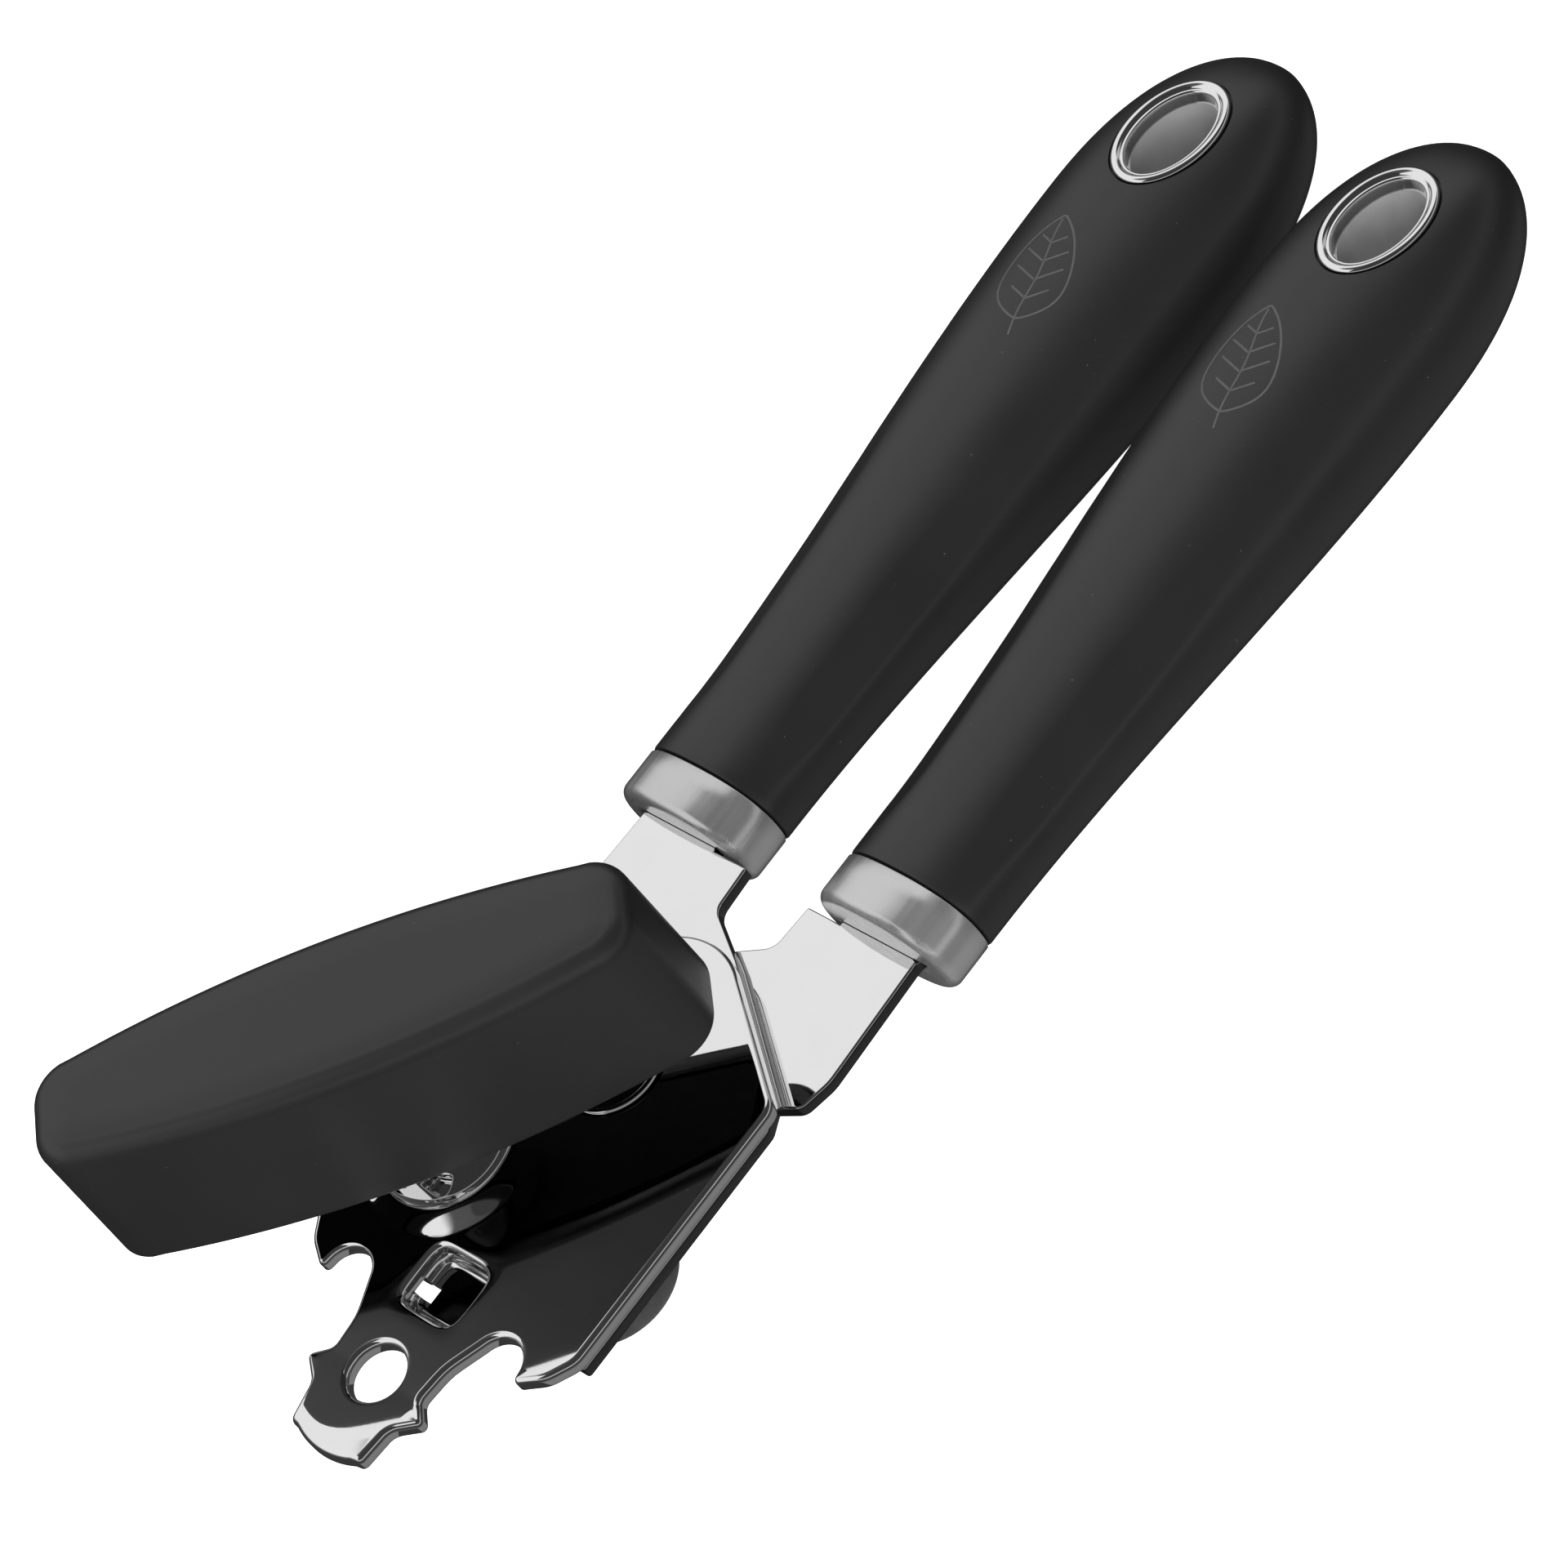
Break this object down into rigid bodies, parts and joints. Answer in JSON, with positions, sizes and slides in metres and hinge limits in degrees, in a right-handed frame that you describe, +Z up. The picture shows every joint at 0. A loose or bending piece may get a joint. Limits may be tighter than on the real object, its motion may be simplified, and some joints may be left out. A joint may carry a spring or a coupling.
{
  "type": "manual can opener",
  "caption": "Pliers-type can opener: soft-touch handles, plated head with lid lifter and bottle-opener hooks, cutting wheel, and a feed wheel turned by a large knob.",
  "frame": {"origin": "middle of the tool's footprint, on the surface that it lies on", "axes": "+X from the head towards the handles' ends, +Y towards the left handle, +Z up out of the front plate, towards the knob"},
  "size_m": [0.2134, 0.0744, 0.0499],
  "materials": {
    "chrome": "mirror-bright plating",
    "soft_grip": "matte soft-touch",
    "core_plastic": "moulded",
    "brushed_steel": "satin, brushed along the handle",
    "hardened_steel": "ground",
    "brass": "turned"
  },
  "bodies": {
    "frame": {"front_plate": "chrome", "right_tang": "chrome", "right_grip": "soft_grip", "right_core": "core_plastic", "right_ferrule": "brushed_steel", "right_eyelet": "chrome", "right_eyelet_back": "chrome", "pivot_rivet": "chrome", "pivot_washer": "brushed_steel", "shaft_collar": "chrome", "shaft_bush": "brass", "spacer_ring": "brushed_steel"},
    "left_lever": {"left_tang": "chrome", "left_grip": "soft_grip", "left_core": "core_plastic", "left_ferrule": "brushed_steel", "left_eyelet": "chrome", "left_eyelet_back": "chrome", "cutter_axle": "hardened_steel", "cutter_cap": "brushed_steel"},
    "cutter": {"cutting_wheel": "hardened_steel", "cutter_washer": "brushed_steel"},
    "knob": {"knob_shell": "soft_grip", "knob_core": "core_plastic", "drive_shaft": "hardened_steel", "feed_wheel": "hardened_steel", "feed_washer": "brushed_steel", "shaft_nut": "brushed_steel", "spring_washer": "brushed_steel", "thrust_washer": "brushed_steel"}
  },
  "joints": [
    {"name": "handle_pivot", "type": "hinge", "parent": "frame", "child": "left_lever", "pos_m": [-0.0486, -0.00385, 0.01255], "axis": [0, 0, 1], "range_deg": [0, 35]},
    {"name": "knob_spin", "type": "hinge", "parent": "frame", "child": "knob", "pos_m": [-0.0673, 0.00815, 0.0211], "axis": [0, 0, 1], "continuous": true},
    {"name": "cutter_spin", "type": "hinge", "parent": "left_lever", "child": "cutter", "pos_m": [-0.0689, -0.01415, 0.0042], "axis": [0, 0, 1], "continuous": true}
  ]
}
